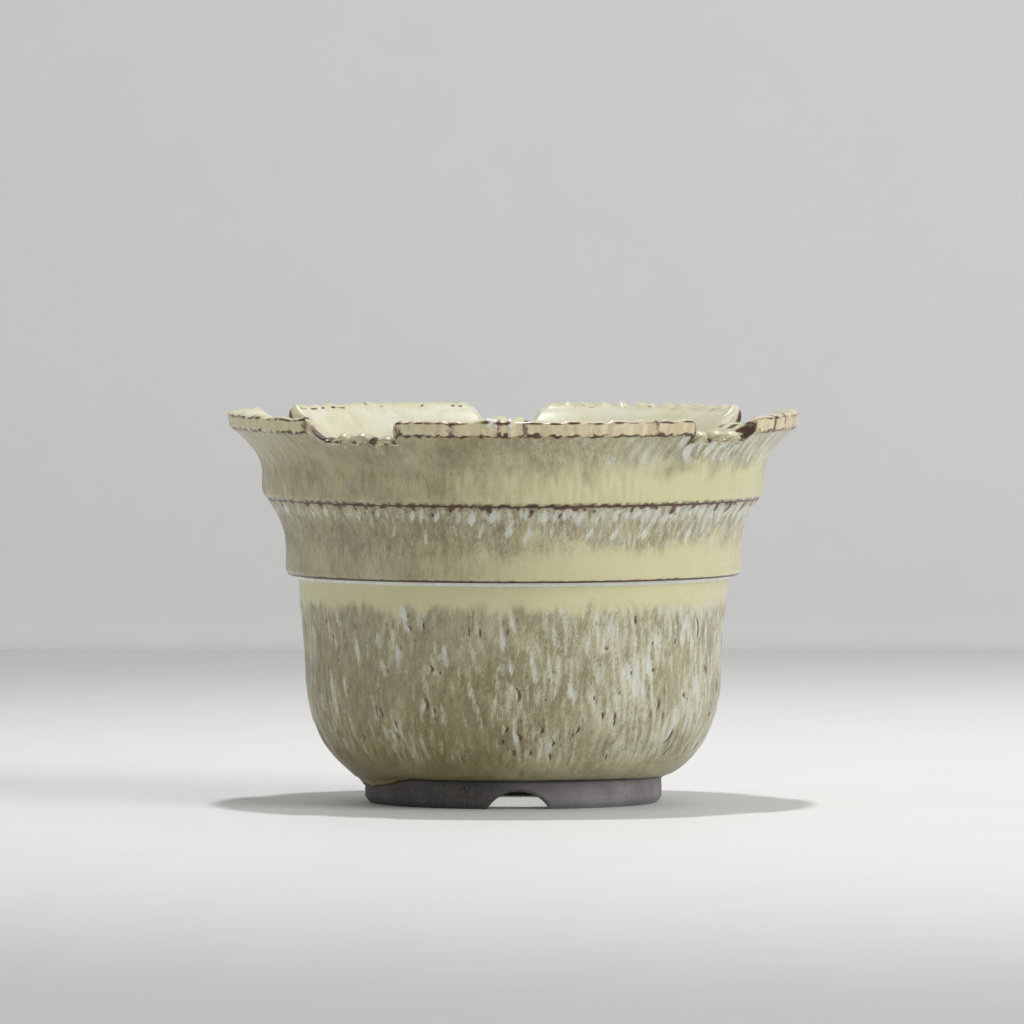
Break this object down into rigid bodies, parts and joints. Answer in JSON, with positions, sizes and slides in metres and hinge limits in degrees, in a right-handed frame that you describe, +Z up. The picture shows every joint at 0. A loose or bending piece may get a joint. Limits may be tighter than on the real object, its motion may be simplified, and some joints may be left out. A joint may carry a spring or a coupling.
{
  "type": "bonsai pot",
  "caption": "Round stoneware bonsai pot in stepped tiers with a flared, petal-cut rim, an ash glaze and a notched foot ring.",
  "frame": {"origin": "middle of the plane that the foot ring rests on", "axes": "+Z up along the pot's axis, -Y towards the front, +X to the right as seen from the front"},
  "size_m": [0.13, 0.1296, 0.0887],
  "materials": {
    "bare_stoneware": "matte",
    "ash_glaze": "satin",
    "pale_glaze": "satin"
  },
  "bodies": {
    "root": {"foot_ring": "bare_stoneware", "floor": "bare_stoneware", "bowl": "bare_stoneware", "middle_band": "bare_stoneware", "rim_band": "bare_stoneware", "outer_glaze": "ash_glaze", "liner_glaze": "pale_glaze", "cut_glaze": "pale_glaze"}
  },
  "joints": []
}
